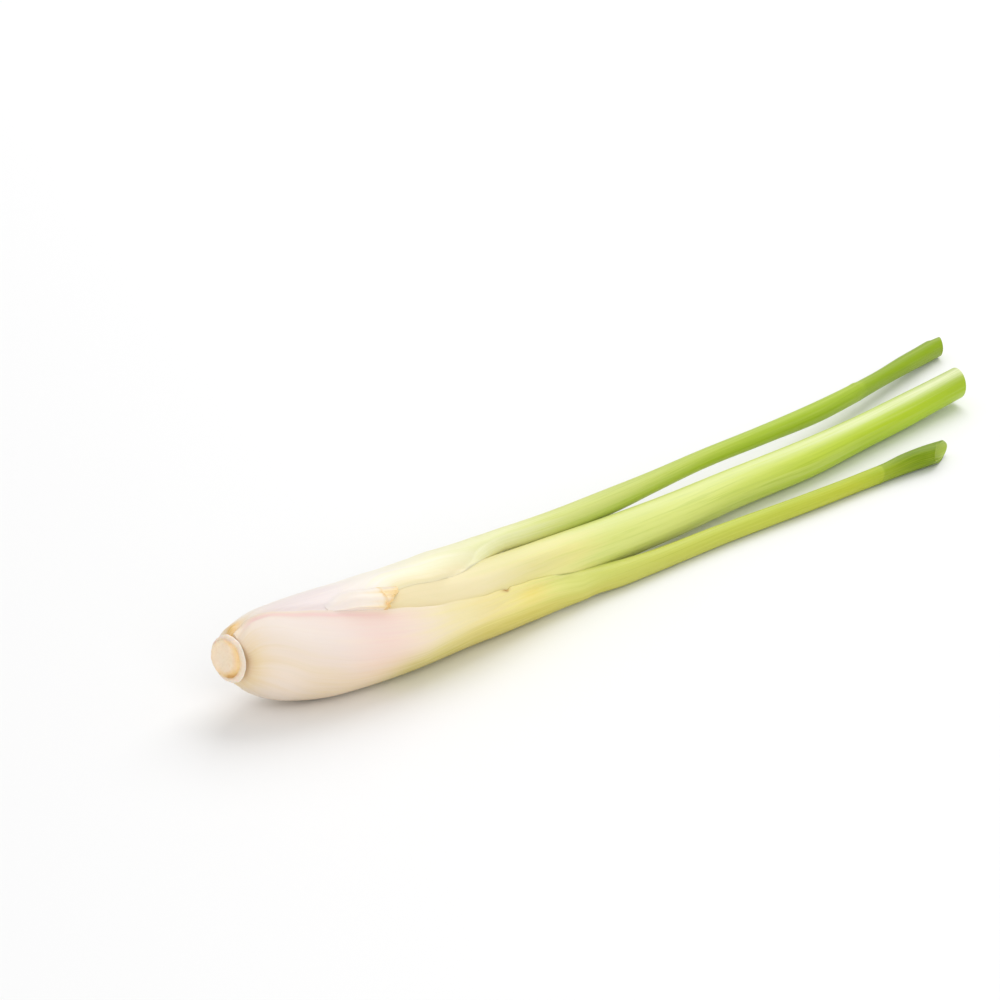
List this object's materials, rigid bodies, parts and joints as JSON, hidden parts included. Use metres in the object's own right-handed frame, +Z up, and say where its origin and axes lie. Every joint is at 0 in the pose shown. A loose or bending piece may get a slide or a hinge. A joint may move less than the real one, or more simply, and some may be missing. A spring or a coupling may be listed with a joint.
{
  "type": "lemongrass stalk",
  "caption": "Trimmed lemongrass stalk lying on its side: a pale swollen bulb with a cut root crown, fanning out into green rolled leaf stems.",
  "frame": {"origin": "the point of the table under the middle of the bulb, at the centre of the small flat spot that it rests on", "axes": "+X along the stalk from the cut root to the leaf ends, +Z up from the table, +Y to the side where the back leaf fans out"},
  "size_m": [0.2959, 0.0541, 0.0239],
  "materials": {
    "cut_crown": "matte",
    "front_leaf": "satin",
    "back_leaf": "satin",
    "inner_leaves": "satin",
    "dry_bract": "matte"
  },
  "bodies": {
    "root": {"root_crown": "cut_crown", "outer_sheath": "front_leaf", "back_sheath": "back_leaf", "main_stalk": "inner_leaves", "side_bract": "dry_bract"}
  },
  "joints": []
}
